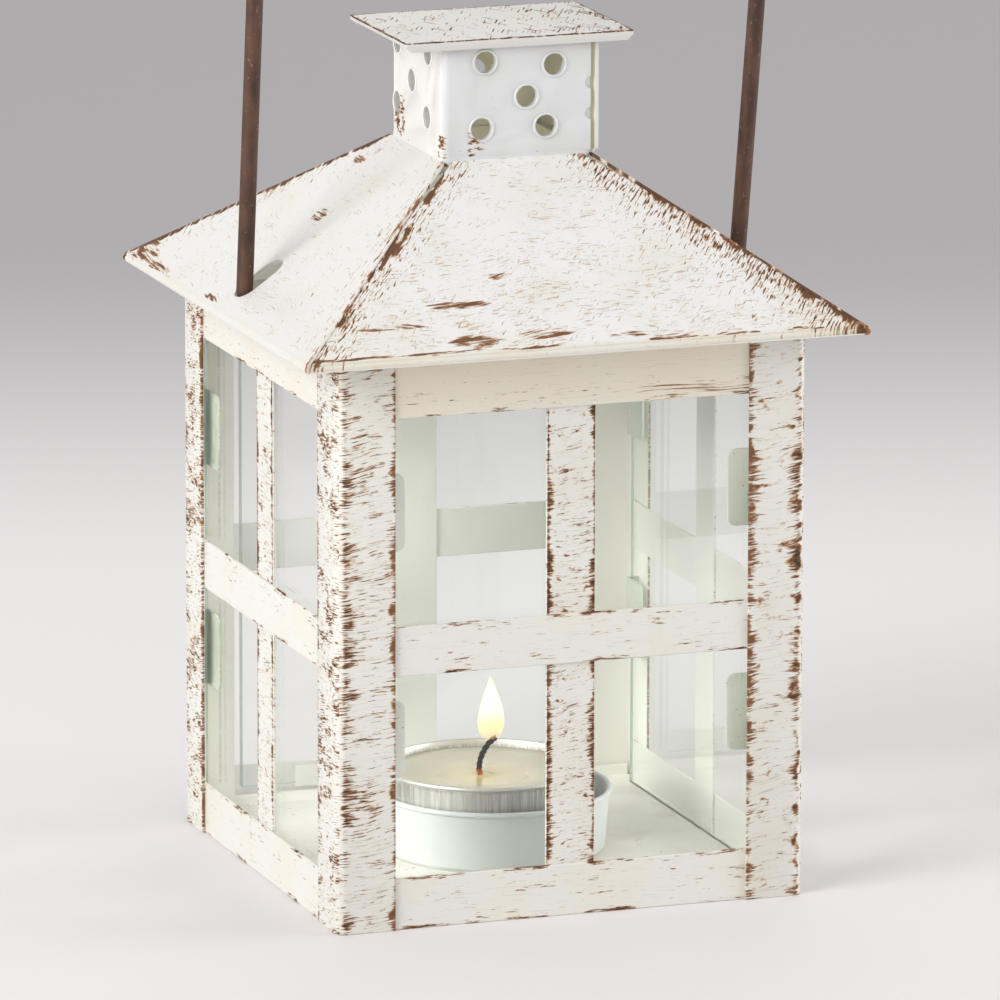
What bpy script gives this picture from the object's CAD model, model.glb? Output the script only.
import bmesh
import bpy
import math
from mathutils import Matrix, Vector


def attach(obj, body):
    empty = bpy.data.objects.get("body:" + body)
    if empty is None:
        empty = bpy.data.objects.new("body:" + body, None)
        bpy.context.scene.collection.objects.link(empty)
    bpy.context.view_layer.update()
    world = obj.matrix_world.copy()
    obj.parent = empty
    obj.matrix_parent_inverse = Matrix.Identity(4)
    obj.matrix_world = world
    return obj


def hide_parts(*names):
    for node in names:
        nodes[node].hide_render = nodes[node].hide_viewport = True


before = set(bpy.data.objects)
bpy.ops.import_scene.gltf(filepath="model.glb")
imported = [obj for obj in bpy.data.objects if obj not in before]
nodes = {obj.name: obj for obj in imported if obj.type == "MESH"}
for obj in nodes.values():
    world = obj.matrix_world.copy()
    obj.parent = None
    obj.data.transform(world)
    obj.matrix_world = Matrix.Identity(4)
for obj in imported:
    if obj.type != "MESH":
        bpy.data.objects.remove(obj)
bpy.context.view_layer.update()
print("frame loaded:", len(nodes), "nodes")

mm = 0.001


class Value:
    # a shader value: an expression on it adds Math nodes
    def __init__(self, shader, socket):
        self.shader = shader
        self.socket = socket

    def math(self, operation, *others):
        return self.shader.node("ShaderNodeMath", {"operation": operation}, dict(enumerate((self,) + others)))

    def __add__(self, other):
        return self.math("ADD", other)

    def __sub__(self, other):
        return self.math("SUBTRACT", other)

    def __rsub__(self, other):
        return self.shader.node("ShaderNodeMath", {"operation": "SUBTRACT"}, {0: other, 1: self})

    def __mul__(self, other):
        return self.math("MULTIPLY", other)

    def __truediv__(self, other):
        return self.math("DIVIDE", other)

    def __abs__(self):
        return self.math("ABSOLUTE")

    def least(self, other):
        return self.math("MINIMUM", other)

    def most(self, other):
        return self.math("MAXIMUM", other)

    def above(self, level):
        # 1 above the level, 0 below it
        return self.math("GREATER_THAN", level)

    def rise(self, low, high):
        # 0 below low, 1 above high, smooth between
        return self.shader.node(
            "ShaderNodeMapRange", {"interpolation_type": "SMOOTHSTEP"}, {0: self, 1: low, 2: high})

    def fall(self, low, high):
        # 1 below low, 0 above high, smooth between
        return 1 - self.rise(low, high)

    def between(self, low, high):
        # low where this value is 0, high where it is 1
        return self * (high - low) + low


# how much of a noise's offset each axis takes; they differ so that no axis repeats another
offsetShares = (1.0, 1.7, 0.6)
# turn of a face, 1 straight out and -1 straight in, over which it goes from inner to outer
innerTurn = (-0.6, -0.3)


class Shader:
    # one material and the nodes in it; x, y and z are a point's place in mm
    def __init__(self, name):
        self.material = bpy.data.materials.new(name)
        self.material.use_nodes = True
        self.tree = self.material.node_tree
        self.tree.nodes.clear()
        metres = self.node("ShaderNodeTexCoord", out="Object")
        point = self.node("ShaderNodeVectorMath", {"operation": "SCALE"}, {0: metres, 3: 1 / mm})
        self.x, self.y, self.z = self.parts(point)

    def parts(self, vector):
        return tuple(self.node("ShaderNodeSeparateXYZ", {}, {0: vector}, out=i) for i in range(3))

    def normal(self):
        return self.parts(self.node("ShaderNodeTexCoord", out="Normal"))

    def sideWall(self):
        # 1 on the left and right walls, 0 on the front and back ones
        return (abs(self.x) - abs(self.y)).above(0.0)

    def outside(self):
        # 1 on faces and edges turned away from the lantern's middle, 0 on the inner faces of its walls
        turnX, turnY = self.normal()[:2]
        side = self.sideWall()
        facing = turnX * self.x.math("SIGN") * side + turnY * self.y.math("SIGN") * (1 - side)
        return facing.rise(*innerTurn)

    def fromAxis(self, centreX):
        # distance from an upright axis at this x
        away = self.x - centreX
        return (away * away + self.y * self.y).math("SQRT")

    def node(self, kind, settings=None, values=None, out=0):
        made = self.tree.nodes.new(kind)
        for key, setting in (settings or {}).items():
            if key == "stops":
                self.setStops(made.color_ramp, setting)
            else:
                setattr(made, key, setting)
        for key, value in (values or {}).items():
            if isinstance(value, Value):
                self.tree.links.new(value.socket, made.inputs[key])
            else:
                made.inputs[key].default_value = value
        return Value(self, made.outputs[out])

    def setStops(self, ramp, stops):
        while len(ramp.elements) < len(stops):
            ramp.elements.new(0.5)
        for element, (position, colour) in zip(ramp.elements, stops):
            element.position = position
            element.color = (*colour, 1)

    def grain(self, noise, shift=0.0, at=None):
        # noise holds its blotches' length in mm along x, y and z, its detail, roughness and own offset
        *lengths, detail, roughness, offset = noise
        at = at or (self.x, self.y, self.z)
        point = self.node("ShaderNodeCombineXYZ", {}, {
            axis: at[axis] / lengths[axis] + (shift + offset) * offsetShares[axis] for axis in range(3)})
        return self.node("ShaderNodeTexNoise", {"noise_dimensions": "3D"}, {
            "Vector": point, "Scale": 1.0, "Detail": detail, "Roughness": roughness})

    def mixColour(self, factor, first, second):
        first = first if isinstance(first, Value) else (*first, 1)
        second = second if isinstance(second, Value) else (*second, 1)
        return self.node("ShaderNodeMix", {"data_type": "RGBA"}, {0: factor, 6: first, 7: second}, out=2)

    def bump(self, height, distance, strength, below=None):
        values = {"Height": height, "Distance": distance, "Strength": strength}
        if below is not None:
            values["Normal"] = below
        return self.node("ShaderNodeBump", {}, values)

    def principled(self, values):
        return self.node("ShaderNodeBsdfPrincipled", {}, values)

    def finish(self, surface):
        output = self.tree.nodes.new("ShaderNodeOutputMaterial")
        self.tree.links.new(surface.socket, output.inputs["Surface"])
        return self.material


def srgb(red, green, blue):
    # a colour given as 0-255 screen values
    shares = (channel / 255 for channel in (red, green, blue))
    return tuple(((c + 0.055) / 1.055) ** 2.4 if c > 0.04 else c / 12.92 for c in shares)


def turned(x, y, z, cosine, sine):
    # coordinates turned about the upright axis
    return x * cosine - y * sine, y * cosine + x * sine, z


spotFade = (0.1, 1.0)


def spot(*axes):
    # 1 in the middle of an oval spot, 0 outside; each axis is a coordinate, the spot's middle and half size
    total = None
    for value, middle, half in axes:
        away = (value - middle) * (1 / half)
        total = away * away if total is None else total + away * away
    return total.fall(*spotFade)


# a density of 0 leaves the paint whole, 0.5 gives scattered strokes, 1 a half bare surface
wearFloor = 0.27
wearReach = 0.27


def wornBy(density, *grains):
    highest = grains[0]
    for other in grains[1:]:
        highest = highest.most(other)
    return highest + density * wearReach - wearFloor


def thinLines(look, noise):
    # fine lines where the paint is thin but not worn through
    return noise.rise(*look["lineRange"]) * look["lineShare"]


paintLook = {
    "white": srgb(229, 228, 222),
    "cream": srgb(222, 217, 202),
    "inner": srgb(252, 250, 243),
    "tan": srgb(196, 172, 139),
    "rust": srgb(157, 108, 74),
    "brown": srgb(102, 69, 43),
    "dark": srgb(55, 36, 22),
    # wear over which each layer comes in, from the torn edge of the paint down to the darkest metal
    "tanFrom": (0.43, 0.49), "tanShare": 0.8,
    "bareFrom": (0.46, 0.53),
    "rustFrom": (0.475, 0.525),
    "brownFrom": (0.515, 0.565),
    "darkFrom": (0.58, 0.68), "darkVaries": 0.16,
    # noises: clouds of cream, the paint's fine skin, dents in the sheet
    "clouds": (14, 14, 14, 2, 0.5, 3.1), "cloudRange": (0.42, 0.72), "cloudShare": 0.45,
    "skin": (0.8, 0.8, 0.8, 2, 0.5, 5.3),
    "dents": (11, 11, 11, 1, 0.5, 8.3), "dentDepth": 0.6 * mm, "dentStrength": 0.3,
    "coatThickness": 0.06 * mm, "coatStrength": 0.7,
    "coatRelief": 0.8, "skinRelief": 0.3, "streakRelief": 0.4,
    "roughPaint": 0.42,
    "roughBare": 0.75,
    "shine": 0.45,
}


def paintedSurface(shader, worn, streaks, soil=0.0, tint=None, white=None, outside=None, rough=None):
    # white paint over brown; worn runs from 0, whole, past 0.5, bare, to 1, darkest
    look = paintLook
    clouds = shader.grain(look["clouds"]).rise(*look["cloudRange"]) * look["cloudShare"]
    skin = shader.grain(look["skin"])
    colour = shader.mixColour(clouds + soil, white or look["white"], tint or look["cream"])
    if outside is not None:
        colour = shader.mixColour(outside, look["inner"], colour)
        worn, streaks = worn * outside, streaks * outside
    colour = shader.mixColour(streaks, colour, look["tan"])
    colour = shader.mixColour(worn.rise(*look["tanFrom"]) * look["tanShare"], colour, look["tan"])
    colour = shader.mixColour(worn.rise(*look["rustFrom"]), colour, look["rust"])
    colour = shader.mixColour(worn.rise(*look["brownFrom"]), colour, look["brown"])
    deepest = worn + skin * look["darkVaries"] - look["darkVaries"] / 2
    colour = shader.mixColour(deepest.rise(*look["darkFrom"]), colour, look["dark"])
    bare = worn.rise(*look["bareFrom"])
    coat = (1 - bare) * look["coatRelief"] + skin * look["skinRelief"] - streaks * look["streakRelief"]
    relief = shader.bump(shader.grain(look["dents"]), look["dentDepth"], look["dentStrength"])
    relief = shader.bump(coat, look["coatThickness"], look["coatStrength"], below=relief)
    return shader.finish(shader.principled({
        "Base Color": colour, "Roughness": bare.between(rough or look["roughPaint"], look["roughBare"]),
        "Normal": relief, "Specular IOR Level": look["shine"]}))


postWear = {
    "shift": 1.3,
    "fold": 44.0, "inner": 33.1,                    # both edges of the strip
    "leanX": 0.09, "leanY": 0.05,                   # how steeply the strokes fall off level
    "wander": (12, 12, 12, 1, 0.5, 4.0), "wanderBy": 3.0,
    "strokes": (3.0, 3.0, 0.25, 3, 0.64, 0.0),      # on the front and back faces
    "dots": (1.6, 1.6, 0.27, 3, 0.62, 5.5),         # on the side faces
    "blobs": (3.2, 3.2, 1.9, 3, 0.55, 8.0),
    "patches": (60, 60, 6.0, 3, 0.6, 2.2), "patchRange": (0.38, 0.62),
    "areas": (5, 5, 3.5, 2, 0.5, 3.9), "areaRange": (0.42, 0.68), "areaLevel": (0.45, 1.0),
    "uneven": (6, 6, 2.2, 3, 0.5, 1.4),
    "lines": (8, 8, 0.24, 2, 0.65, 9.7), "lineRange": (0.57, 0.72), "lineShare": 0.55,
    "rimFade": (-0.7, 0.9), "farStart": 0.2, "farSpread": (0.45, 1.25), "farFill": (0.70, 1.06),
    "nearSpread": 0.5, "nearFill": (0.85, 1.10), "nearBlobs": 0.05, "nearMost": 0.55,
    # front and back faces of the left posts, and of the right posts, then all side faces
    "levels": {
        "clean": (0.8, 0.8, 2.2),       # clean rim beside the fold
        "ragged": (1.3, 2.4, 1.6),
        "farWidth": (5.6, 4.2, 3.0),    # band of wear beyond that rim
        "farLevel": (1.14, 1.14, 0.40),
        "nearWidth": (1.8, 3.0, 1.6),   # band at the strip's inner edge
        "nearLevel": (1.08, 1.04, 1.04),
        "body": (0.80, 0.54, 1.00),
        "blobs": (0.12, 0.0, 0.16),     # how far the round marks stay behind the thin strokes
    },
}


def postPaint(name):
    # short strokes across the strip, thick beside the fold and at the inner edge
    look = postWear
    shift = look["shift"]
    shader = Shader(name)
    right = shader.x.above(0.0)
    side = shader.sideWall()
    level = {}
    for key, (leftPost, rightPost, sideFace) in look["levels"].items():
        level[key] = side.between(right.between(leftPost, rightPost), sideFace)
    across = abs(shader.x).least(abs(shader.y))
    wander = shader.grain(look["wander"], shift) * look["wanderBy"]
    fallen = shader.z - shader.x * look["leanX"] + shader.y * look["leanY"] + wander
    leaning = (shader.x, shader.y, fallen)
    strokes = shader.grain(look["strokes"], shift, leaning)
    dots = shader.grain(look["dots"], shift, leaning)
    strokes = side.between(strokes, dots)
    blobs = shader.grain(look["blobs"], shift, leaning)
    patches = shader.grain(look["patches"], shift).rise(*look["patchRange"])
    areas = shader.grain(look["areas"], shift).rise(*look["areaRange"])
    ragged = (shader.grain(look["uneven"], shift) - 0.5) * level["ragged"]
    fromFold = look["fold"] - across - level["clean"] - ragged
    farWidth = level["farWidth"] * patches.between(*look["farSpread"])
    far = fromFold.fall(look["farStart"], farWidth) * fromFold.rise(*look["rimFade"])
    near = (across - look["inner"]).fall(0.0, level["nearWidth"] * (patches + look["nearSpread"]))
    body = areas.between(*look["areaLevel"]) * level["body"]
    density = (far * level["farLevel"] * patches.between(*look["farFill"])).most(body)
    worn = wornBy(density, strokes, blobs - level["blobs"])
    fringe = near * level["nearLevel"] * patches.between(*look["nearFill"])
    fringe = wornBy(fringe, strokes, blobs - look["nearBlobs"]).least(look["nearMost"])
    lines = thinLines(look, shader.grain(look["lines"], shift, leaning))
    return paintedSurface(shader, worn.most(fringe), lines, outside=shader.outside())


muntinWear = {
    "shift": 5.9,
    "half": 4.6,
    "lean": 0.09,
    "wander": (12, 12, 12, 1, 0.5, 4.0), "wanderBy": 3.0,
    "strokes": (2.2, 2.2, 0.26, 3, 0.66, 0.0),
    "blobs": (1.8, 1.8, 1.1, 3, 0.55, 8.0), "blobsBehind": 0.04,
    "patches": (8, 8, 6.0, 2, 0.5, 2.9), "patchRange": (0.36, 0.64),
    "areas": (5, 5, 3.0, 2, 0.5, 3.9), "areaRange": (0.46, 0.70), "areaLevel": (0.6, 1.0),
    "lines": (8, 8, 0.24, 2, 0.65, 9.7), "lineRange": (0.60, 0.74), "lineShare": 0.5,
    "rimFade": (0.02, 0.22), "bandStart": 0.1, "bandWidth": 2.0, "bandSpread": 0.45,
    "bandLevel": 1.10, "bandFill": (0.92, 1.10),
    "upperFrom": 49.0, "upperLevel": (1, 1.14),     # the upper half is worn a little more
    "body": 0.66,
}


def muntinPaint(name):
    # blobs along both edges, thin lines across
    look = muntinWear
    shift = look["shift"]
    shader = Shader(name)
    wander = shader.grain(look["wander"], shift) * look["wanderBy"]
    leaning = (shader.x, shader.y, shader.z - shader.x * look["lean"] + wander)
    strokes = shader.grain(look["strokes"], shift, leaning)
    blobs = shader.grain(look["blobs"], shift, leaning)
    patches = shader.grain(look["patches"], shift).rise(*look["patchRange"])
    areas = shader.grain(look["areas"], shift).rise(*look["areaRange"])
    edge = look["half"] - abs(shader.x).least(abs(shader.y))
    width = (patches + look["bandSpread"]) * look["bandWidth"]
    band = edge.fall(look["bandStart"], width) * edge.rise(*look["rimFade"])
    upper = shader.z.above(look["upperFrom"]).between(*look["upperLevel"])
    band = band * upper * look["bandLevel"] * patches.between(*look["bandFill"])
    density = band.most(areas.between(*look["areaLevel"]) * look["body"])
    worn = wornBy(density, strokes, blobs - look["blobsBehind"])
    lines = thinLines(look, shader.grain(look["lines"], shift, leaning))
    return paintedSurface(shader, worn, lines, outside=shader.outside())


railWear = {
    "shift": 2.4,
    "edges": (0.0, 9.4, 46.0, 55.0, 92.4),
    "wander": (20, 20, 20, 1, 0.5, 0.0), "wanderBy": 1.5,
    "strokes": (2.8, 2.8, 0.30, 3, 0.62, 0.0),
    "patches": (8, 8, 30, 2, 0.5, 2.2), "patchRange": (0.42, 0.66),
    "areas": (9, 9, 3, 2, 0.5, 3.3), "areaRange": (0.44, 0.72), "areaLevel": (0.13, 0.55),
    "lines": (6, 6, 0.22, 2, 0.65, 9.7), "lineRange": (0.60, 0.76), "lineShare": 0.4,
    "edgeStart": 0.15, "edgeWidth": (0.35, 1.45), "edgeLevel": 1.05,
    "eave": 95.0, "eaveFade": (0.5, 4.0), "eaveLevel": 0.3,
    "topFrom": (90.0, 93.0), "topCleaner": 0.7,
    # long strokes drawn along the lower edge of the top rail, towards its right end
    "drawn": (9, 9, 0.36, 3, 0.6, 6.3), "drawnAt": 94.2, "drawnFade": (0.6, 2.4), "drawnFrom": (-4.0, 22.0),
    "drawnLevel": 0.72, "drawnMost": 0.53,
    "tint": srgb(231, 224, 206), "tintFrom": (85.0, 96.0), "tintLevel": (0.2, 0.8),
}


def railPaint(name):
    # sparse dashes along the strip, rubbed lines on its edges
    look = railWear
    shift = look["shift"]
    shader = Shader(name)
    wavy = (shader.x, shader.y, shader.z + shader.grain(look["wander"], shift) * look["wanderBy"])
    strokes = shader.grain(look["strokes"], shift, wavy)
    patches = shader.grain(look["patches"], shift).rise(*look["patchRange"])
    areas = shader.grain(look["areas"], shift).rise(*look["areaRange"])
    edge = abs(shader.z - look["edges"][0])
    for level in look["edges"][1:]:
        edge = edge.least(abs(shader.z - level))
    band = edge.fall(look["edgeStart"], patches.between(*look["edgeWidth"])) * patches
    underEave = abs(shader.z - look["eave"]).fall(*look["eaveFade"]) * look["eaveLevel"]
    whole = (1 - shader.z.rise(*look["topFrom"]) * look["topCleaner"]) * areas.between(*look["areaLevel"])
    worn = wornBy((band * look["edgeLevel"]).most(whole).most(underEave), strokes)
    drawn = shader.grain(look["drawn"], shift, wavy)
    lowRight = abs(shader.z - look["drawnAt"]).fall(*look["drawnFade"]) * shader.x.rise(*look["drawnFrom"])
    worn = worn.most(wornBy(lowRight * look["drawnLevel"], drawn).least(look["drawnMost"]))
    lines = thinLines(look, shader.grain(look["lines"], shift, wavy))
    frontBack = (abs(shader.y) - abs(shader.x)).above(0.0)
    soil = shader.z.rise(*look["tintFrom"]) * frontBack.between(*look["tintLevel"])
    return paintedSurface(shader, worn, lines, soil, look["tint"], outside=shader.outside())


roofWear = {
    "eave": 52.4,
    "wander": (22, 22, 22, 1, 0.5, 4.0), "wanderBy": 5.0, "lean": 0.06,
    "slant": (0.70, 0.72),
    "ticks": (1.9, 0.34, 60, 2, 0.6, 2.6), "ticksBehind": 0.05,
    "feathers": (6.0, 0.60, 60, 4, 0.66, 1.6),
    "fine": (1.9, 0.22, 60, 2, 0.6, 3.0), "fineRange": (0.58, 0.70), "finePatches": (0.36, 0.60),
    "dabs": (3.0, 0.80, 60, 3, 0.60, 7.0),
    "patches": (6, 6, 6, 3, 0.5, 2.2),
    "broad": (6, 6, 6, 2, 0.5, 5.2), "broadRange": (0.36, 0.64),
    # thin dashes over the whole panel; faint is how far they may wear through
    "dashPatches": (0.34, 0.66), "dashEaveFade": (0.9, 1.3), "faint": 0.492,
    "lowerFrom": (18.0, 44.0), "lowerLevel": 0.08,
    "hipSlope": 0.7071, "hipStart": 0.3, "hipWidth": (0.9, 4.3), "hipLevel": (1.14, 1.50),
    "besideFade": (1.5, 9.0), "besidePatches": (0.52, 0.70), "besidePatchLevel": 0.25,
    "eaveStart": 0.7, "eaveWidth": (1.0, 2.2), "eaveRim": (0.25, 0.6), "eaveRubbed": (0.42, 0.58),
    "smearLevel": 1.12, "smearMost": 0.555,
    "soilFade": (0.3, 1.2),
    "undersideTurn": (-0.7, -0.5),
    # the part that every panel has, and the part that grows with its wear
    "dashFloor": (0.18, 0.03),
    "levels": {
        "hip": (0.4, 0.6),
        "dash": (0.15, 0.10),
        "beside": (0.26, 0.40),
        "fine": (0.12, 0.16),
    },
}

frontRoof = {
    "alongX": True, "shift": 0.7, "wear": 1.0,
    "white": srgb(231, 230, 229),
    "strokes": (2.2, 0.22, 60, 3, 0.62, 0.0),
    "soil": 0.75,
    # place along the eave, distance from the middle, half length and half width of each bare smear
    "smears": ((-21.0, 42.5, 9.0, 1.1), (-7.0, 49.2, 8.0, 1.5), (-34.0, 46.0, 9.0, 0.9),
               (-11.0, 37.5, 4.0, 1.1), (-20.0, 49.8, 7.0, 1.7), (8.0, 50.5, 5.0, 0.9)),
    "hipRim": (0.1, 0.35), "hipMost": 0.575,
    # fewer ticks right of the middle, more in the field beside the right hip
    "rightFrom": (-4.0, 4.0), "rightCleaner": 0.30,
    "fieldFrom": (0.0, 16.0), "fieldFade": (8.0, 22.0), "fieldLevel": 0.36,
    # the line rubbed along the hem fades towards the right
    "hemAt": 0.85, "hemFade": (0.12, 0.5), "hemRight": (-44.0, 6.0), "hemCleaner": 0.8, "hemLevel": 1.32,
}

sideRoof = {
    "alongX": False, "shift": 3.3, "wear": 0.2,
    "white": srgb(226, 224, 221),
    "strokes": (4.0, 0.22, 60, 3, 0.62, 0.0),
    "soil": 0.3,
    "smears": ((4.0, 31.0, 3.6, 2.0), (14.0, 20.0, 3.6, 1.3), (46.0, 50.0, 8.0, 2.8),
               (36.0, 51.2, 12.0, 0.9), (5.0, 51.0, 5.0, 0.8)),
    # how dark the front hips get on the left and on the right panel, then the back hips
    "leftMost": 0.54, "rightMost": 0.60, "backMost": 0.62,
    "leftHipCleaner": 0.42,
    "eaveFrom": (12.0, 40.0),
}


def besideFrontHips(panel, beside, along, hip):
    right = 1 - along.rise(*panel["rightFrom"]) * panel["rightCleaner"]
    field = along.rise(*panel["fieldFrom"]) * hip.fall(*panel["fieldFade"]) * panel["fieldLevel"]
    return beside * right + field


def rubbedHem(panel, along, eave):
    right = 1 - along.rise(*panel["hemRight"]) * panel["hemCleaner"]
    return abs(eave - panel["hemAt"]).fall(*panel["hemFade"]) * right * panel["hemLevel"]


def roofPaint(name, panel):
    # faint dashes near the eave's direction, dabs along the hips, feathers and a rubbed line at the eave
    look = roofWear
    alongX, shift, wear = panel["alongX"], panel["shift"], panel["wear"]
    level = {key: every + growing * wear for key, (every, growing) in look["levels"].items()}
    shader = Shader(name)
    along, outward = (shader.x, abs(shader.y)) if alongX else (shader.y, abs(shader.x))
    hip = (outward - abs(along)) * look["hipSlope"]
    eave = look["eave"] - outward

    wander = shader.grain(look["wander"], shift) * look["wanderBy"]
    straight = (along, outward + along * look["lean"] + wander, shader.z)
    slanted = turned(along, outward, shader.z, *look["slant"])
    strokes = shader.grain(panel["strokes"], shift, straight)
    ticks = shader.grain(look["ticks"], shift, slanted)
    feathers = shader.grain(look["feathers"], shift, straight)
    fine = shader.grain(look["fine"], shift, straight)
    dabs = shader.grain(look["dabs"], shift, slanted)
    patches = shader.grain(look["patches"], shift)
    broad = shader.grain(look["broad"], shift).rise(*look["broadRange"])

    lower = outward.rise(*look["lowerFrom"]) * look["lowerLevel"] * wear
    everyFloor, growingFloor = look["dashFloor"]
    dashes = patches.rise(*look["dashPatches"]) * level["dash"] + lower + everyFloor + growingFloor * wear
    worn = wornBy(dashes, strokes, ticks - look["ticksBehind"])
    worn = worn.least(look["faint"]) * eave.rise(*look["dashEaveFade"])

    beside = hip.fall(*look["besideFade"]) * level["beside"]
    beside = beside + patches.rise(*look["besidePatches"]) * look["besidePatchLevel"]
    if alongX:
        beside = besideFrontHips(panel, beside, along, hip)
    worn = worn.most(wornBy(beside, ticks))

    smear = 0.0
    for middle, reach, halfLength, halfWidth in panel["smears"]:
        smear = spot((along, middle, halfLength), (outward, reach, halfWidth)).most(smear)
    worn = worn.most(wornBy(smear * look["smearLevel"], feathers).least(look["smearMost"]))

    hipBand = hip.fall(look["hipStart"], broad.between(*look["hipWidth"]) * level["hip"])
    if alongX:
        hipBand = hipBand * hip.rise(*panel["hipRim"])
        hipMost = panel["hipMost"]
    else:
        leftFront = (1 - shader.x.above(0.0)) * (1 - along.above(0.0))
        hipBand = hipBand * (1 - leftFront * panel["leftHipCleaner"])
        frontMost = shader.x.above(0.0).between(panel["leftMost"], panel["rightMost"])
        hipMost = along.above(0.0).between(frontMost, panel["backMost"])
    worn = worn.most(wornBy(hipBand * broad.between(*look["hipLevel"]), dabs).least(hipMost))

    rubbed = patches.rise(*look["eaveRubbed"]) * (1.0 if alongX else along.rise(*panel["eaveFrom"]))
    eaveBand = eave.fall(look["eaveStart"], broad.between(*look["eaveWidth"])) * eave.rise(*look["eaveRim"])
    worn = worn.most(wornBy(eaveBand * rubbed * look["smearLevel"], feathers).least(look["smearMost"]))
    if alongX:
        worn = worn.most(wornBy(rubbedHem(panel, along, eave), feathers).least(look["smearMost"]))

    streaks = fine.rise(*look["fineRange"]) * patches.rise(*look["finePatches"]) * level["fine"]
    soil = eave.fall(*look["soilFade"]) * panel["soil"]
    topSide = shader.normal()[2].rise(*look["undersideTurn"])
    return paintedSurface(shader, worn, streaks, soil, white=panel["white"], outside=topSide)


shelteredWear = {
    "marks": (1.2, 1.2, 0.5, 3, 0.65, 1.1), "lineRange": (0.68, 0.78), "lineShare": 0.2,
    "patches": (9, 9, 9, 2, 0.5, 3.3), "patchRange": (0.5, 0.75), "level": 0.4,
}


def shelteredPaint(name):
    # sheltered pieces: only a few marks
    look = shelteredWear
    shader = Shader(name)
    marks = shader.grain(look["marks"])
    patches = shader.grain(look["patches"]).rise(*look["patchRange"])
    worn, lines = wornBy(patches * look["level"], marks), thinLines(look, marks)
    return paintedSurface(shader, worn, lines, white=paintLook["inner"], outside=shader.outside())


chimneyWear = {
    "white": srgb(221, 222, 223),
    "shade": srgb(215, 216, 213),
    "leftWall": srgb(238, 236, 231),
    "lining": srgb(253, 248, 224),
    "rough": 0.30,
    "clouds": (9, 9, 9, 2, 0.5, 4.1), "cloudRange": (0.40, 0.70),
    "leftFrom": -13.9,
    "marks": (1.5, 1.5, 0.6, 3, 0.62, 2.7), "lineRange": (0.68, 0.78), "lineShare": 0.15,
    "footFade": (130.5, 134.0), "footLevel": 0.45,
    # x, y, z, half width and half height of each smear
    "smears": ((-14.1, -13.0, 134.0, 2.0, 4.5), (-8.0, -14.1, 134.5, 2.6, 4.2),
               (-14.1, 9.0, 136.0, 4.5, 5.5)),
    "smearLevel": 0.85,
    # the groove between the lapped sheet and the lip on the right wall, and its four sides
    "groove": srgb(190, 184, 156),
    "grooveLeft": (13.75, 13.85), "grooveRight": (14.65, 14.75),
    "grooveFront": (-13.8, -13.7), "grooveBack": (-13.5, -13.4),
}


def chimneyPaint(name):
    # clean glossy paint, smeared low on the left corner
    look = chimneyWear
    shader = Shader(name)
    marks = shader.grain(look["marks"])
    density = shader.z.fall(*look["footFade"]) * look["footLevel"]
    for x, y, z, wide, high in look["smears"]:
        smear = spot((shader.x, x, wide), (shader.y, y, wide), (shader.z, z, high))
        density = density.most(smear * look["smearLevel"])
    outside = shader.outside()
    groove = shader.x.rise(*look["grooveLeft"]) * shader.x.fall(*look["grooveRight"])
    groove = groove * shader.y.fall(*look["grooveBack"]) * shader.y.rise(*look["grooveFront"])
    clouds = shader.grain(look["clouds"]).rise(*look["cloudRange"])
    colour = shader.mixColour(clouds, look["white"], look["shade"])
    colour = shader.mixColour(1 - shader.x.above(look["leftFrom"]), colour, look["leftWall"])
    colour = shader.mixColour(groove, colour, look["groove"])
    colour = shader.mixColour(outside, look["lining"], colour)
    worn, lines = wornBy(density, marks) * outside, thinLines(look, marks)
    return paintedSurface(shader, worn, lines, tint=colour, white=colour, rough=look["rough"])


capWear = {
    "white": srgb(214, 213, 209),
    "crossed": (0.91, -0.42), "leaning": (0.90, 0.44),
    "scratches": (0.46, 6.5, 30, 2, 0.5, 1.9),
    "dashes": (0.42, 5.0, 30, 2, 0.5, 7.7), "lineRange": (0.60, 0.72), "lineShare": 0.4,
    "sharpen": 1.8,
    "patches": (9, 9, 30, 2, 0.5, 6.4), "patchRange": (0.40, 0.70), "patchLevel": 0.50, "patchFloor": 0.30,
    "rightFrom": (6.0, 20.0), "rightLevel": 0.30,
    "scraped": (1.7, 1.0, 30, 3, 0.66, 3.3), "scrapedLevel": 1.15,
    "halfX": 21.5, "halfY": 15.45, "edgeStart": 0.15, "edgeWidth": (0.45, 2.05),
    "topFrom": (153.2, 153.5),
}


def capPaint(name):
    # short scratches in two directions, a scraped line along the edges, clean lips
    look = capWear
    shader = Shader(name)
    crossed = turned(shader.x, shader.y, shader.z, *look["crossed"])
    leaning = turned(shader.x, shader.y, shader.z, *look["leaning"])
    scratches = shader.grain(look["scratches"], at=crossed)
    dashes = shader.grain(look["dashes"], at=leaning)
    scraped = shader.grain(look["scraped"])
    patches = shader.grain(look["patches"]).rise(*look["patchRange"])
    edge = (look["halfX"] - abs(shader.x)).least(look["halfY"] - abs(shader.y))
    band = edge.fall(look["edgeStart"], patches.between(*look["edgeWidth"]))
    rightEnd = shader.x.rise(*look["rightFrom"]) * look["rightLevel"]
    sharp = (scratches.most(dashes) - 0.5) * look["sharpen"] + 0.5
    worn = wornBy(patches * look["patchLevel"] + rightEnd - look["patchFloor"], sharp)
    worn = worn.most(wornBy(band * look["scrapedLevel"], scraped, scratches))
    top = shader.z.rise(*look["topFrom"])
    return paintedSurface(shader, worn * top, thinLines(look, dashes) * top, white=look["white"])


tabWear = {
    "shade": srgb(214, 219, 206),
    "leftWall": srgb(186, 194, 180),
    "nearFront": -38.0, "nearLeft": -38.0,
    "marks": (0.9, 0.9, 0.5, 3, 0.65, 4.7), "lineRange": (0.68, 0.78), "lineShare": 0.2,
    "level": 0.25,
}


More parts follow.
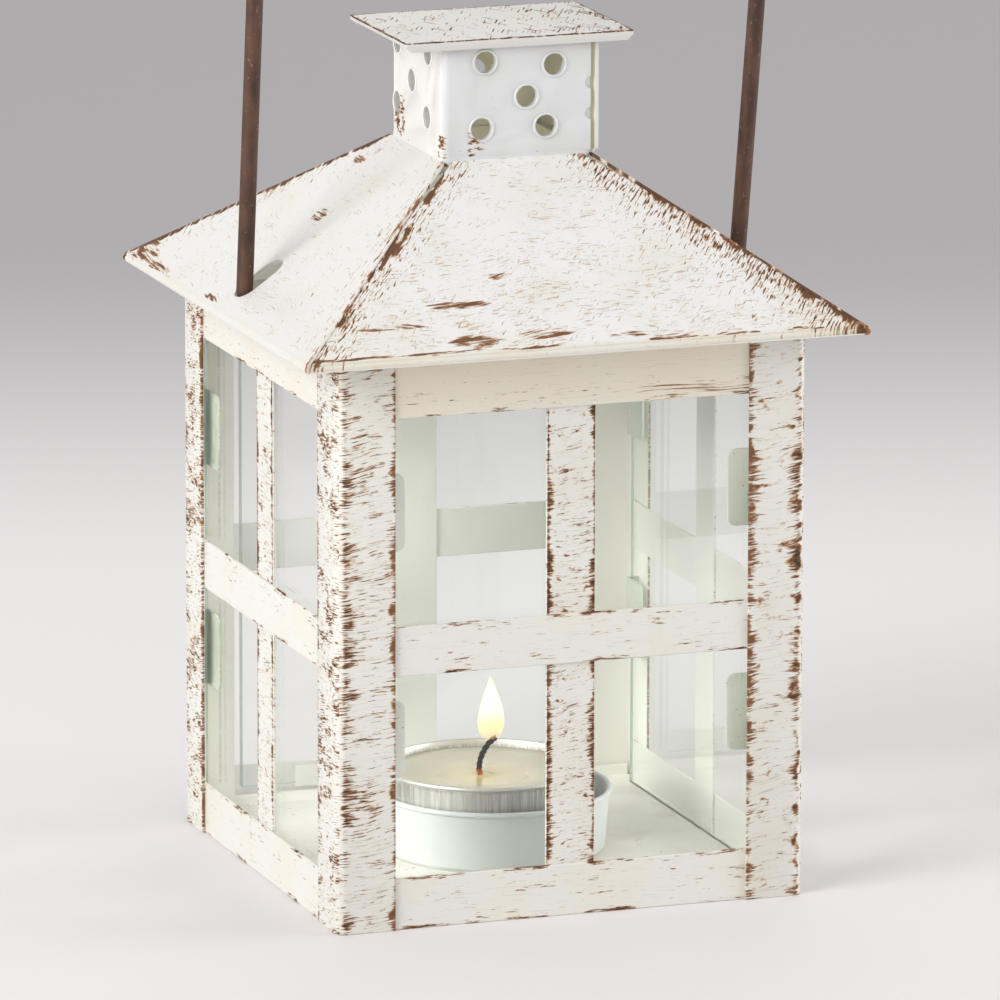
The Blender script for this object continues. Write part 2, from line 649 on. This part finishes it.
def tabPaint(name):
    # small folded tabs that hold the panes, in the shade of the walls
    look = tabWear
    shader = Shader(name)
    marks = shader.grain(look["marks"])
    elsewhere = shader.x.above(0.0).most(shader.y.above(look["nearFront"]))
    white = shader.mixColour(elsewhere, paintLook["inner"], look["shade"])
    white = shader.mixColour(1 - shader.x.above(look["nearLeft"]), white, look["leftWall"])
    return paintedSurface(shader, wornBy(look["level"], marks), thinLines(look, marks), white=white)


glassLook = {
    "face": srgb(253, 255, 253), "edge": srgb(176, 204, 184), "shadow": srgb(255, 255, 254),
    "edgeSolid": 0.7, "edgeRoughness": 0.3, "refraction": 1.45,
    "smears": (18, 18, 7, 3, 0.5, 2.0), "smearRange": (0.55, 0.8), "roughness": 0.03,
}


def glassMaterial(name):
    # clear panes whose cut edges look solid pale green
    look = glassLook
    shader = Shader(name)
    smears = shader.grain(look["smears"]).rise(*look["smearRange"])
    turnX, turnY, turnZ = shader.normal()
    upright = shader.sideWall().between(abs(turnX), abs(turnY))
    cut = upright.most(abs(turnZ)).above(0.5)
    glass = shader.principled({
        "Base Color": shader.mixColour(cut, look["face"], look["edge"]),
        "Roughness": smears * look["roughness"], "IOR": look["refraction"], "Transmission Weight": 1.0})
    edge = shader.principled({"Base Color": (*look["edge"], 1), "Roughness": look["edgeRoughness"]})
    clear = shader.node("ShaderNodeBsdfTransparent", {}, {"Color": (*look["shadow"], 1)})
    lampRay = shader.node("ShaderNodeLightPath", out="Is Shadow Ray")
    pane = shader.node("ShaderNodeMixShader", {}, {0: cut * look["edgeSolid"], 1: glass, 2: edge})
    return shader.finish(shader.node("ShaderNodeMixShader", {}, {0: lampRay, 1: pane, 2: clear}))


bailLook = {
    "shade": srgb(66, 44, 33), "light": srgb(96, 66, 51), "speck": srgb(146, 112, 90),
    "clouds": (3, 3, 9, 3, 0.6, 1.0), "cloudRange": (0.35, 0.7),
    "specks": (0.5, 0.5, 0.8, 2, 0.5, 4.0), "speckRange": (0.66, 0.74), "speckShare": 0.7,
    "depth": 0.06 * mm, "strength": 0.6, "roughness": (0.40, 0.70), "shine": 0.4,
}


def bailMaterial(name):
    # brown paint on wire, rubbed lighter in specks
    look = bailLook
    shader = Shader(name)
    clouds = shader.grain(look["clouds"])
    specks = shader.grain(look["specks"])
    colour = shader.mixColour(clouds.rise(*look["cloudRange"]), look["shade"], look["light"])
    colour = shader.mixColour(specks.rise(*look["speckRange"]) * look["speckShare"], colour, look["speck"])
    relief = shader.bump(specks + clouds, look["depth"], look["strength"])
    return shader.finish(shader.principled({
        "Base Color": colour, "Roughness": clouds.between(*look["roughness"]), "Normal": relief,
        "Specular IOR Level": look["shine"]}))


foilLook = {
    "bright": srgb(238, 237, 232), "streak": srgb(206, 204, 196),
    "metallic": 0.85, "roughness": 0.34, "smudgeRough": 0.2, "wallRough": 0.10,
    "wallFrom": (17.5, 17.9), "wallTop": (16.6, 17.0),
    "smudges": (4, 4, 2, 3, 0.5, 3.0), "smudgeDepth": 0.12 * mm, "smudgeStrength": 0.4,
    "streaks": (0.45, 0.45, 40, 2, 0.7, 5.0), "streakRange": (0.38, 0.62),
    "streakDepth": 0.07 * mm, "streakStrength": 0.6,
}
candleX = -1.2      # the tealight stands a little left of the lantern's middle


def foilMaterial(name):
    # thin pressed metal with dull upright streaks
    look = foilLook
    shader = Shader(name)
    smudges = shader.grain(look["smudges"])
    streaks = shader.grain(look["streaks"])
    wall = shader.fromAxis(candleX).rise(*look["wallFrom"]) * shader.z.fall(*look["wallTop"])
    colour = shader.mixColour(streaks.rise(*look["streakRange"]) * wall, look["bright"], look["streak"])
    relief = shader.bump(smudges, look["smudgeDepth"], look["smudgeStrength"])
    relief = shader.bump(streaks * wall, look["streakDepth"], look["streakStrength"], below=relief)
    roughness = smudges * look["smudgeRough"] + wall * look["wallRough"] + look["roughness"]
    return shader.finish(shader.principled({
        "Base Color": colour, "Metallic": look["metallic"], "Roughness": roughness, "Normal": relief}))


enamelLook = {
    "white": srgb(221, 224, 223), "shade": srgb(215, 218, 215),
    "clouds": (12, 12, 12, 2, 0.5, 2.0), "cloudRange": (0.35, 0.7),
    "depth": 0.3 * mm, "strength": 0.3, "roughness": (0.25, 0.45),
}


def enamelMaterial(name):
    # smooth white coat of the candle cup
    look = enamelLook
    shader = Shader(name)
    clouds = shader.grain(look["clouds"])
    colour = shader.mixColour(clouds.rise(*look["cloudRange"]), look["white"], look["shade"])
    relief = shader.bump(clouds, look["depth"], look["strength"])
    return shader.finish(shader.principled({
        "Base Color": colour, "Roughness": clouds.between(*look["roughness"]), "Normal": relief}))


waxLook = {
    "solid": srgb(218, 211, 190), "melted": srgb(217, 201, 152),
    "poolX": -1.6, "poolFade": (5.0, 12.5), "poolEdge": (4, 4, 4, 2, 0.5, 6.0), "poolVaries": 3.0,
    "roughness": 0.36, "poolSmoother": 0.24,
    "ripples": (5, 5, 5, 2, 0.5, 1.0), "rippleDepth": 0.3 * mm, "rippleStrength": 0.3,
    "glow": 0.3, "glowRadius": (0.006, 0.004, 0.002), "glowScale": 0.6,
}


def waxMaterial(name):
    # pale wax, clearer where it has melted round the wick
    look = waxLook
    shader = Shader(name)
    fromWick = shader.fromAxis(look["poolX"]) + shader.grain(look["poolEdge"]) * look["poolVaries"]
    pool = fromWick.fall(*look["poolFade"])
    colour = shader.mixColour(pool, look["solid"], look["melted"])
    relief = shader.bump(shader.grain(look["ripples"]), look["rippleDepth"], look["rippleStrength"])
    return shader.finish(shader.principled({
        "Base Color": colour, "Roughness": look["roughness"] - pool * look["poolSmoother"], "Normal": relief,
        "Subsurface Weight": look["glow"], "Subsurface Radius": look["glowRadius"],
        "Subsurface Scale": look["glowScale"]}))


wickLook = {
    "waxed": srgb(186, 112, 44), "charred": srgb(30, 26, 20),
    "fibres": (0.3, 0.3, 0.5, 2, 0.5, 1.0), "fibreVaries": 0.8, "charredFrom": (16.5, 17.6),
    "depth": 0.3 * mm, "strength": 0.9, "roughness": 0.9, "shine": 0.2,
}


def wickMaterial(name):
    # cotton, soaked at the foot and charred above
    look = wickLook
    shader = Shader(name)
    fibres = shader.grain(look["fibres"])
    height = (shader.z + fibres * look["fibreVaries"]).rise(*look["charredFrom"])
    colour = shader.mixColour(height, look["waxed"], look["charred"])
    relief = shader.bump(fibres, look["depth"], look["strength"])
    return shader.finish(shader.principled({
        "Base Color": colour, "Roughness": look["roughness"], "Normal": relief,
        "Specular IOR Level": look["shine"]}))


flameLook = {
    # share of the flame's height, colour
    "glow": [(0.0, srgb(176, 112, 80)), (0.14, srgb(222, 146, 92)), (0.28, srgb(248, 198, 132)),
             (0.46, srgb(255, 236, 194)), (0.78, srgb(255, 243, 214)), (1.0, srgb(255, 222, 166))],
    "strength": 1.1, "body": (1, 0.8, 0.4),
    "thickFrom": (0.0, 0.42), "thickness": (0.18, 0.90), "tipFrom": (0.75, 1.0), "tipThinner": 0.40,
}


def flameMaterial(name, bottom, top):
    # see-through at the foot, thickest in the middle, thinner again at the tip
    look = flameLook
    shader = Shader(name)
    height = shader.node("ShaderNodeMapRange", {}, {0: shader.z, 1: bottom, 2: top})
    colour = shader.node("ShaderNodeValToRGB", {"stops": look["glow"]}, {0: height})
    thickness = height.rise(*look["thickFrom"]).between(*look["thickness"])
    return shader.finish(shader.principled({
        "Base Color": (*look["body"], 1), "Roughness": 1.0, "Emission Color": colour,
        "Emission Strength": look["strength"], "Specular IOR Level": 0.0,
        "Alpha": thickness - height.rise(*look["tipFrom"]) * look["tipThinner"]}))


looks = {
    "post": postPaint("postPaint"),
    "muntin": muntinPaint("muntinPaint"),
    "rail": railPaint("railPaint"),
    "frontRoof": roofPaint("roofPaintFront", frontRoof),
    "sideRoof": roofPaint("roofPaintSide", sideRoof),
    "sheltered": shelteredPaint("shelteredPaint"),
    "chimney": chimneyPaint("chimneyPaint"),
    "cap": capPaint("capPaint"),
    "tab": tabPaint("tabPaint"),
    "glass": glassMaterial("windowGlass"),
    "bail": bailMaterial("bailPaint"),
    "foil": foilMaterial("tealightFoil"),
    "enamel": enamelMaterial("cupEnamel"),
    "wax": waxMaterial("candleWax"),
    "wick": wickMaterial("charredWick"),
}
# how the names of the pieces in each look end; all others are sheltered
endings = {
    "post": ("post", "stile"),
    "muntin": ("muntin",),
    "rail": ("rail", "bar"),
    "frontRoof": ("roof_front", "roof_back"),
    "sideRoof": ("roof_left", "roof_right"),
    "chimney": ("chimney", "chimney_lap"),
    "cap": ("chimney_cap",),
    "tab": ("tabs",),
    "glass": ("glass",),
    "bail": ("wire_bail", "hinge_pins"),
    "foil": ("tealight_cup", "wick_sustainer"),
    "enamel": ("candle_cup",),
    "wax": ("wax",),
    "wick": ("wick",),
}


def lookFor(name):
    for look, ends in endings.items():
        if name.endswith(ends):
            return looks[look]
    return looks["sheltered"]


for name, node in nodes.items():
    node.data.materials.clear()
    node.data.materials.append(lookFor(name))
print("materials on CAD nodes")


def place(name, bm, material, body):
    # makes a finished piece from a mesh in lantern coordinates
    bmesh.ops.recalc_face_normals(bm, faces=bm.faces)
    mesh = bpy.data.meshes.new(name)
    bm.to_mesh(mesh)
    bm.free()
    mesh.shade_smooth()
    mesh.materials.append(material)
    piece = bpy.data.objects.new(name, mesh)
    bpy.context.collection.objects.link(piece)
    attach(piece, body)
    return piece


softening = {
    "pieces": ("post", "tabs", "chimney_lap", "chimney_cap", "door_pull"),
    "width": 0.16, "segments": 2, "angle": 35,
    "weld": 0.002, "flat": 0.5,     # mm and degrees within which the solid's triangles are joined
}


def soften(name, look):
    # the same sheet with its cut edges rounded
    bm = bmesh.new()
    bm.from_mesh(nodes[name].data)
    bmesh.ops.remove_doubles(bm, verts=bm.verts, dist=look["weld"] * mm)
    bmesh.ops.dissolve_limit(bm, angle_limit=math.radians(look["flat"]), verts=bm.verts, edges=bm.edges)
    piece = place(name + "_soft", bm, lookFor(name), "door" if name.startswith("door") else "lantern")
    bevel = piece.modifiers.new("roundEdges", "BEVEL")
    bevel.width = look["width"] * mm
    bevel.segments = look["segments"]
    bevel.limit_method = "ANGLE"
    bevel.angle_limit = math.radians(look["angle"])
    bevel.harden_normals = True
    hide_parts(name)


for name in nodes:
    if name.endswith(softening["pieces"]):
        soften(name, softening)
print("sheet edges rounded")

weld = 0.001 * mm


def spun(profile, steps, centreX):
    # turns a line of (radius, height) points in mm about an upright axis
    bm = bmesh.new()
    verts = [bm.verts.new((radius * mm, 0, height * mm)) for radius, height in profile]
    edges = [bm.edges.new(pair) for pair in zip(verts, verts[1:])]
    bmesh.ops.spin(bm, geom=verts + edges, cent=(0, 0, 0), axis=(0, 0, 1), angle=2 * math.pi, steps=steps,
                   use_merge=True)
    bmesh.ops.remove_doubles(bm, verts=bm.verts, dist=weld)
    bmesh.ops.translate(bm, verts=bm.verts, vec=(centreX * mm, 0, 0))
    return bm


foilShape = {
    "ribs": 200, "ribDepth": 0.13, "ribFrom": 17, "ribLow": 4.4, "ribHigh": 16.6,
    "wall": [(0, 2.56), (16.8, 2.56), (17.5, 2.8), (17.83, 3.5), (17.9, 4.5), (18.12, 8.0), (18.35, 12.0),
             (18.55, 16.2), (18.6, 16.9), (18.85, 17.05), (19.0, 17.4), (18.85, 17.7), (18.55, 17.78),
             (18.3, 17.6), (18.27, 17.0), (18.2, 16.0), (17.6, 3.8), (17.0, 2.9), (0, 2.86)],
}


def makeFoilCup(look):
    # pressed foil with fine upright ribs and a rolled rim
    bm = spun(look["wall"], look["ribs"] * 2, 0)
    for vert in bm.verts:
        radius = math.hypot(vert.co.x, vert.co.y) / mm
        height = vert.co.z / mm
        if radius > look["ribFrom"] and look["ribLow"] < height < look["ribHigh"]:
            turn = math.atan2(vert.co.y, vert.co.x) / (2 * math.pi) * look["ribs"]
            depth = look["ribDepth"] * math.cos(2 * math.pi * turn)
            vert.co.x *= 1 - depth / radius
            vert.co.y *= 1 - depth / radius
    bmesh.ops.translate(bm, verts=bm.verts, vec=(candleX * mm, 0, 0))
    piece = place("foilCup", bm, looks["foil"], "tealight")
    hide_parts("tealight_cup")


makeFoilCup(foilShape)

waxShape = {
    "steps": 96,
    "surface": [(0, 15.75), (0.5, 15.9), (1.1, 15.6), (3.0, 15.45), (8.0, 15.5), (12.5, 15.62),
                (14.0, 15.8), (16.5, 15.95), (17.7, 16.05), (18.05, 16.3), (18.1, 16.1), (17.5, 4.0),
                (16.6, 2.95), (0, 2.9)],
}


def makeWax(look):
    # poured wax with a melted dish and an edge that climbs the foil
    bm = spun(look["surface"], look["steps"], candleX)
    piece = place("pouredWax", bm, looks["wax"], "tealight")
    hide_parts("wax")


makeWax(waxShape)

wickShape = {
    "path": [(-1.9, 15.2), (-2.3, 16.4), (-2.3, 17.4), (-2.1, 18.4), (-1.75, 19.4), (-1.2, 20.4),
             (-0.5, 21.3), (0.3, 22.0), (0.95, 22.4)],
    "stepsBetween": 4, "radius": 0.50, "sides": 18,
    "strands": 3, "strandDepth": 0.16, "twist": 0.55,
}


def wickPoints(look):
    points = [Vector((x * mm, 0, z * mm)) for x, z in look["path"]]
    steps = look["stepsBetween"]
    fine = []
    for start, end in zip(points, points[1:]):
        fine += [start.lerp(end, i / steps) for i in range(steps)]
    return fine + [points[-1]]


def makeWick(look):
    # three strands twisted into a cord that bends over at the tip
    points = wickPoints(look)
    bm = bmesh.new()
    ring = bmesh.ops.create_circle(bm, cap_ends=True, radius=look["radius"] * mm, segments=look["sides"])
    for vert in ring["verts"]:
        angle = math.atan2(vert.co.y, vert.co.x)
        vert.co *= 1 + look["strandDepth"] * math.cos(look["strands"] * angle)
    bmesh.ops.translate(bm, verts=ring["verts"], vec=points[0])
    bm.faces.ensure_lookup_table()
    face = bm.faces[0]
    for i in range(1, len(points)):
        made = bmesh.ops.extrude_face_region(bm, geom=[face])["geom"]
        verts = [part for part in made if isinstance(part, bmesh.types.BMVert)]
        newFace = [part for part in made if isinstance(part, bmesh.types.BMFace)][0]
        if i > 1:
            bmesh.ops.delete(bm, geom=[face], context="FACES_ONLY")
        bmesh.ops.translate(bm, verts=verts, vec=points[i] - points[i - 1])
        before = (points[i] - points[i - 1]).normalized()
        after = (points[i + 1] - points[i]).normalized() if i + 1 < len(points) else before
        bend = before.rotation_difference(after).to_matrix()
        bmesh.ops.rotate(bm, verts=verts, cent=points[i], matrix=Matrix.Rotation(look["twist"], 3, after))
        bmesh.ops.rotate(bm, verts=verts, cent=points[i], matrix=bend)
        face = newFace
    piece = place("twistedWick", bm, looks["wick"], "tealight")
    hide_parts("wick")


makeWick(wickShape)

flameShape = {
    "centreX": -0.2, "bottom": 22.0, "height": 11.8, "steps": 32, "lean": 0.2, "bend": 3.0,
    # share of the flame's height, radius
    "outline": [(0.0, 0.0), (0.02, 0.9), (0.06, 1.6), (0.13, 2.1), (0.23, 2.36), (0.34, 2.36), (0.46, 2.15),
                (0.58, 1.78), (0.7, 1.32), (0.82, 0.82), (0.92, 0.4), (1.0, 0.0)],
}


def makeFlame(look):
    profile = [(radius, look["bottom"] + share * look["height"]) for share, radius in look["outline"]]
    bm = spun(profile, look["steps"], look["centreX"])
    for vert in bm.verts:
        share = (vert.co.z / mm - look["bottom"]) / look["height"]
        vert.co.x += look["lean"] * math.sin(share * look["bend"]) * mm
    material = flameMaterial("flameGlow", look["bottom"], look["bottom"] + look["height"])
    piece = place("flame", bm, material, "tealight")


makeFlame(flameShape)

# each vent as distance along the wall from its middle, height over the middle row
frontVents = [(-6.1, 5.9), (6.9, 4.8), (1.7, -0.7), (-6.8, -6.1), (5.3, -6.2)]
sideVents = [(-6.3, 6.6), (10.2, 5.9), (2.3, 0.3), (-6, -5), (10.2, -5.1)]
ventRims = {
    "inner": 1.93, "outer": 2.42, "height": 0.3, "sink": 0.03, "middle": 143.3, "steps": 40, "arcSteps": 6,
    # turn of the wall from the front, its distance from the axis, its vents, -1 if they run the other way
    "walls": [(0, 14.1, frontVents, 1), (90, 15.3, sideVents, 1), (180, 14.1, frontVents, -1),
              (270, 14.1, sideVents, -1)],
}


def addRim(bm, look, across, face, height):
    # a half round ring standing on the wall
    middle = (look["inner"] + look["outer"]) / 2
    half = (look["outer"] - look["inner"]) / 2
    verts = []
    for i in range(look["arcSteps"] + 1):
        turn = math.pi * i / look["arcSteps"]
        verts.append(bm.verts.new(((across + middle + half * math.cos(turn)) * mm,
                                   (-face - look["height"] * math.sin(turn)) * mm, height * mm)))
    edges = [bm.edges.new(pair) for pair in zip(verts, verts[1:] + verts[:1])]
    bmesh.ops.spin(bm, geom=verts + edges, cent=(across * mm, -face * mm, height * mm), axis=(0, 1, 0),
                   angle=2 * math.pi, steps=look["steps"], use_merge=True)


def makeVentRims(look):
    # the burr that a punch leaves round each vent, thick with paint
    bm = bmesh.new()
    for turn, face, vents, way in look["walls"]:
        for across, height in vents:
            addRim(bm, look, across * way, face - look["sink"], look["middle"] + height)
        fresh = [vert for vert in bm.verts if not vert.tag]
        bmesh.ops.rotate(bm, verts=fresh, cent=(0, 0, 0), matrix=Matrix.Rotation(math.radians(turn), 3, "Z"))
        for vert in fresh:
            vert.tag = True
    bmesh.ops.remove_doubles(bm, verts=bm.verts, dist=weld)
    piece = place("ventRims", bm, looks["chimney"], "lantern")


makeVentRims(ventRims)
print("candle, flame and vent rims made")

view = {
    "azimuth": -19.48, "elevation": 12.71, "roll": 0.11,
    "distance": 1.9722, "target": (0.00162, -0.00057, 0.0663),
    "lens": 394.3, "sensor": 36, "farthest": 50,
}


def makeCamera(look):
    around, up = math.radians(look["azimuth"]), math.radians(look["elevation"])
    away = Vector((math.sin(around) * math.cos(up), -math.cos(around) * math.cos(up), math.sin(up)))
    camera = bpy.data.objects.new("camera", bpy.data.cameras.new("camera"))
    bpy.context.collection.objects.link(camera)
    camera.location = Vector(look["target"]) + away * look["distance"]
    turn = (-away).to_track_quat("-Z", "Y").to_matrix() @ Matrix.Rotation(math.radians(look["roll"]), 3, "Z")
    camera.rotation_euler = turn.to_euler()
    camera.data.lens = look["lens"]
    camera.data.sensor_width = look["sensor"]
    camera.data.clip_end = look["farthest"]
    bpy.context.scene.camera = camera


floorLook = {
    "half": 3.0,
    "near": srgb(231, 227, 228), "far": srgb(173, 169, 171),
    # direction away from the viewer, and the mm along it over which the floor darkens
    "away": (0.334, 0.943), "darkens": (190.0, 575.0),
    "roughness": 0.8,
}


def makeFloor(look):
    # plain paper that darkens towards the back
    bm = bmesh.new()
    bmesh.ops.create_grid(bm, x_segments=2, y_segments=2, size=look["half"])
    mesh = bpy.data.meshes.new("floor")
    bm.to_mesh(mesh)
    bm.free()
    floor = bpy.data.objects.new("floor", mesh)
    bpy.context.collection.objects.link(floor)
    shader = Shader("floorPaper")
    depth = shader.x * look["away"][0] + shader.y * look["away"][1]
    colour = shader.mixColour(depth.rise(*look["darkens"]), look["near"], look["far"])
    paper = shader.principled({"Base Color": colour, "Roughness": look["roughness"]})
    mesh.materials.append(shader.finish(paper))


lamps = {
    # place, size, watts
    "key": ((-1.3, -0.5, 0.7), 0.9, 16.4),
    "fill": ((1.55, -0.38, 0.45), 1.0, 14.3),
    "top": ((0.0, 0.2, 1.7), 1.2, 2.2),
    "back": ((0.4, 1.4, 0.9), 1.2, 3.3),
}
lampAim = (0, 0, 0.08)
ambient = {"colour": (1.0, 1.0, 0.99), "strength": 0.55}


def makeLight(name, at, size, watts):
    lamp = bpy.data.lights.new(name, "AREA")
    lamp.size = size
    lamp.energy = watts
    stand = bpy.data.objects.new(name, lamp)
    bpy.context.collection.objects.link(stand)
    stand.location = at
    stand.rotation_euler = (Vector(lampAim) - Vector(at)).to_track_quat("-Z", "Y").to_euler()


def makeWorld(look):
    world = bpy.data.worlds.new("studio")
    bpy.context.scene.world = world
    world.use_nodes = True
    background = world.node_tree.nodes["Background"]
    background.inputs[0].default_value = (*look["colour"], 1)
    background.inputs[1].default_value = look["strength"]


makeCamera(view)
makeFloor(floorLook)
for name, (at, size, watts) in lamps.items():
    makeLight(name, at, size, watts)
makeWorld(ambient)
bpy.context.scene.view_settings.view_transform = "Standard"
print("camera and lights set")
